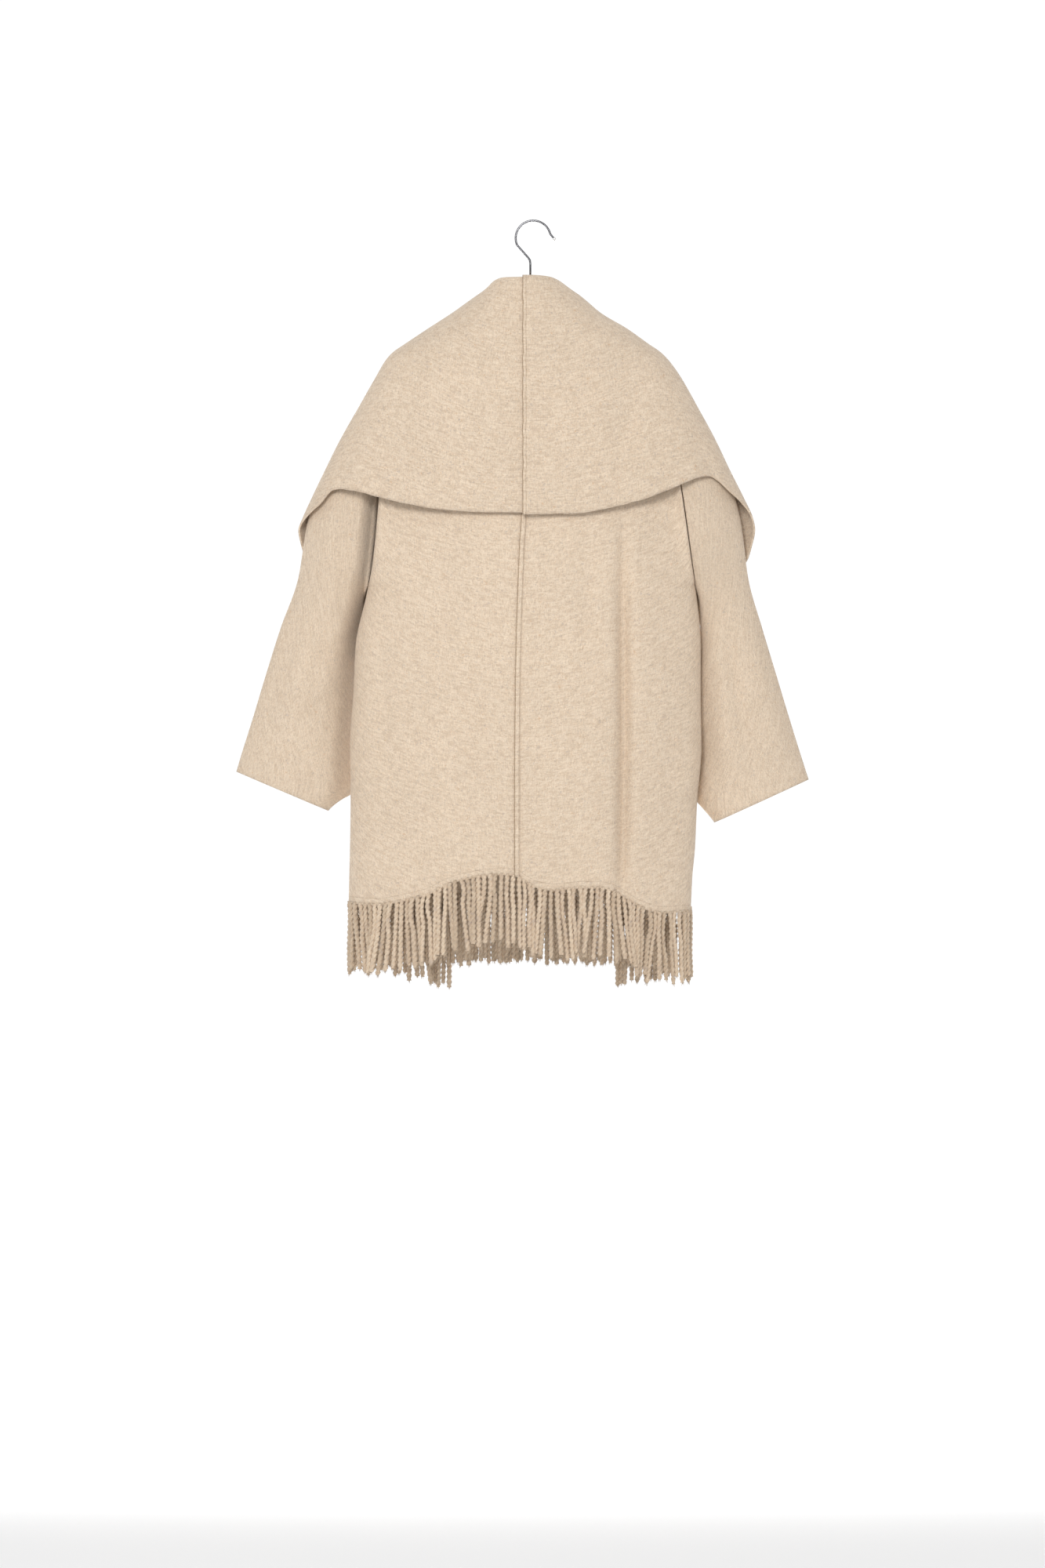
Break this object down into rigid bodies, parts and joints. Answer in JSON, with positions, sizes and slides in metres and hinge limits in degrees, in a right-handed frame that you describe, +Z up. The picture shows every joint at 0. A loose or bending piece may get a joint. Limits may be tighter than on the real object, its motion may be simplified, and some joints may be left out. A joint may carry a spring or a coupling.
{
  "type": "shawl-collar coat with fringed hems on a hanger",
  "caption": "Hip-length beige melange wool coat with a wide cape-like shawl collar and fringed hems, hanging on a wooden hanger with a wire hook.",
  "frame": {"origin": "underside of the top of the hanger's hook, where a rail or peg holds it", "axes": "+Z up, the back of the coat faces -Y, +X to the right when the back is looked at"},
  "size_m": [0.8042, 0.1786, 1.0844],
  "materials": {
    "wool_cloth": "brushed melange wool",
    "wool_collar": "brushed melange wool",
    "wool_fringe": "twisted wool yarn",
    "hanger_wood": "waxed",
    "hook_wire": "polished"
  },
  "bodies": {
    "root": {"back_left": "wool_cloth", "back_right": "wool_cloth", "front_left": "wool_cloth", "front_right": "wool_cloth", "sleeve_left": "wool_cloth", "sleeve_right": "wool_cloth", "collar_left": "wool_collar", "collar_right": "wool_collar", "back_fringe_left": "wool_fringe", "back_fringe_right": "wool_fringe", "front_fringe_left": "wool_fringe", "front_fringe_right": "wool_fringe", "lapel_fringe_left": "wool_fringe", "lapel_fringe_right": "wool_fringe", "hanger_body": "hanger_wood", "hanger_hook": "hook_wire"}
  },
  "joints": []
}
